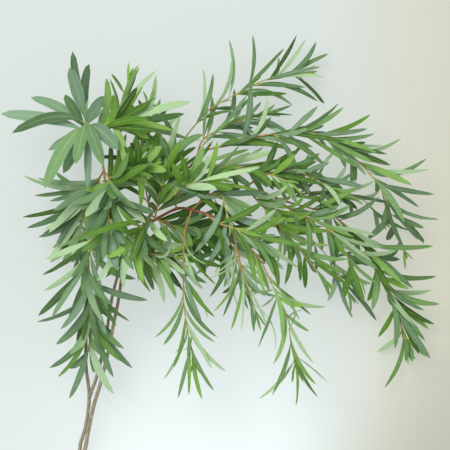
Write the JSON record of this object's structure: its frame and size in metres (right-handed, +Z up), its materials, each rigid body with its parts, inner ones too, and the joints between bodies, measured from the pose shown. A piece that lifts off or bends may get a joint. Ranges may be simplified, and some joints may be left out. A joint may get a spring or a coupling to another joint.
{
  "type": "eucalyptus branch",
  "caption": "Cut eucalyptus branch lying on its side: a forked woody stem with arching leafy sprays of narrow lance-shaped leaves and a rosette of broader blue-green ones.",
  "frame": {"origin": "middle of the bottom of the branch's box, on the surface it lies on", "axes": "+Y from the cut end towards the leafy tips, +X across the branch, +Z up from the surface"},
  "size_m": [0.4424, 0.5242, 0.1185],
  "materials": {
    "stem_bark": "matte brown bark that turns orange-red on the young limbs",
    "leaf_green": "fresh leaf, satin mid green with a pale midrib",
    "leaf_blue_green": "fresh leaf, waxy blue-green bloom"
  },
  "bodies": {
    "root": {"spray_centre": "leaf_blue_green", "spray_crown_left": "leaf_green", "spray_crown_middle": "leaf_green", "spray_crown_right": "leaf_green", "spray_far_left": "leaf_green", "spray_front_left": "leaf_green", "spray_front_middle": "leaf_green", "spray_front_right": "leaf_green", "spray_inner_left": "leaf_green", "spray_left": "leaf_green", "spray_low_back": "leaf_green", "spray_low_inner": "leaf_green", "spray_middle": "leaf_green", "spray_middle_left": "leaf_green", "spray_middle_low": "leaf_green", "spray_middle_right": "leaf_green", "spray_right_back": "leaf_green", "spray_right_low": "leaf_green", "spray_right_middle": "leaf_green", "spray_right_top": "leaf_green", "spray_right_under": "leaf_green", "spray_rosette": "leaf_blue_green", "spray_rosette_right": "leaf_green", "spray_top_left": "leaf_green", "spray_top_middle": "leaf_green", "spray_under_middle": "leaf_green", "spray_under_right": "leaf_green", "spray_upper_back": "leaf_green", "spray_upper_right": "leaf_green", "woody_stem": "stem_bark"}
  },
  "joints": []
}
